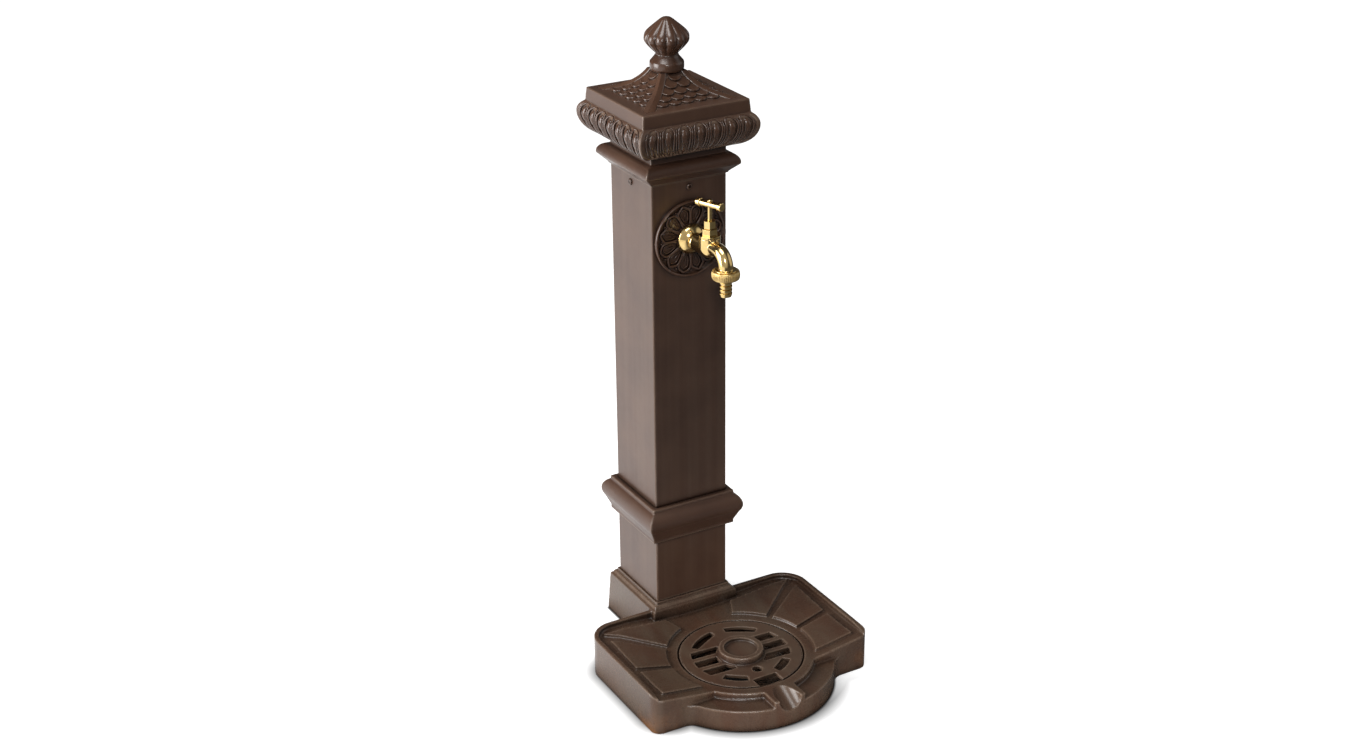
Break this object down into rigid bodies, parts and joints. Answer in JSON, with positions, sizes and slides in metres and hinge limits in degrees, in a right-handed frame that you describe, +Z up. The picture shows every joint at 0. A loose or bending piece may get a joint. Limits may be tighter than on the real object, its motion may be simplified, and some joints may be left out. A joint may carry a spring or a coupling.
{
  "type": "garden standpipe",
  "caption": "Square garden standpipe column with moulded cap, lobed finial and brass bib tap over a cast drip basin with a lift-out grate.",
  "frame": {"origin": "middle of the object's box at ground level", "axes": "+Z up, -Y to the front where the basin and tap are, X across"},
  "size_m": [0.302, 0.364, 0.7923],
  "materials": {
    "cast_paint": "dark brown satin paint over a sandy casting",
    "tube_paint": "dark brown satin paint with faint vertical streaks",
    "screw_paint": "painted over in the column's brown",
    "brass": "polished",
    "copper": "drawn copper tube, plain",
    "steel": "zinc plated",
    "rubber": "matt"
  },
  "bodies": {
    "stand": {"base_casting": "cast_paint", "foot_plate": "steel", "foot_bolts": "steel", "column_tube": "tube_paint", "lower_ring": "cast_paint", "cap_casting": "cast_paint", "cap_screws": "screw_paint", "finial": "cast_paint", "finial_stud": "steel", "finial_nut": "steel", "medallion": "cast_paint", "wall_flange": "brass", "tap_body": "brass", "back_washer": "steel", "back_nut": "brass", "bonnet_washer": "rubber", "bonnet": "brass", "gland_packing": "rubber", "gland_nut": "brass", "riser_elbow": "brass", "riser_pipe": "copper", "inlet_fitting": "brass", "inlet_nut": "brass"},
    "grate": {"drain_grate": "cast_paint"},
    "valve": {"jumper_valve": "brass", "tap_washer": "rubber"},
    "handle": {"spindle": "brass", "handle_bar": "brass"},
    "hose_coupling": {"hose_tail": "brass", "union_washer": "rubber"},
    "coupling_nut": {"union_nut": "brass"}
  },
  "joints": [
    {"name": "grate_lift", "type": "slide", "parent": "stand", "child": "grate", "axis": [0, 0, 1], "range_m": [0, 0.08]},
    {"name": "valve_lift", "type": "slide", "parent": "stand", "child": "valve", "axis": [0, 0, 1], "range_m": [0, 0.0056]},
    {"name": "handle_turn", "type": "hinge", "parent": "valve", "child": "handle", "pos_m": [0, 0.006, 0.58], "axis": [0, 0, 1], "range_deg": [0, 720]},
    {"name": "coupling_drop", "type": "slide", "parent": "stand", "child": "hose_coupling", "axis": [0, 0, -1], "range_m": [0, 0.00453]},
    {"name": "coupling_turn", "type": "hinge", "parent": "hose_coupling", "child": "coupling_nut", "pos_m": [0, -0.03, 0.52], "axis": [0, 0, -1], "range_deg": [0, 900]}
  ],
  "couplings": [
    {"joint": "handle_turn", "follows": "valve_lift", "rad_per_m": 2243.9},
    {"joint": "coupling_turn", "follows": "coupling_drop", "rad_per_m": 3463.7}
  ]
}
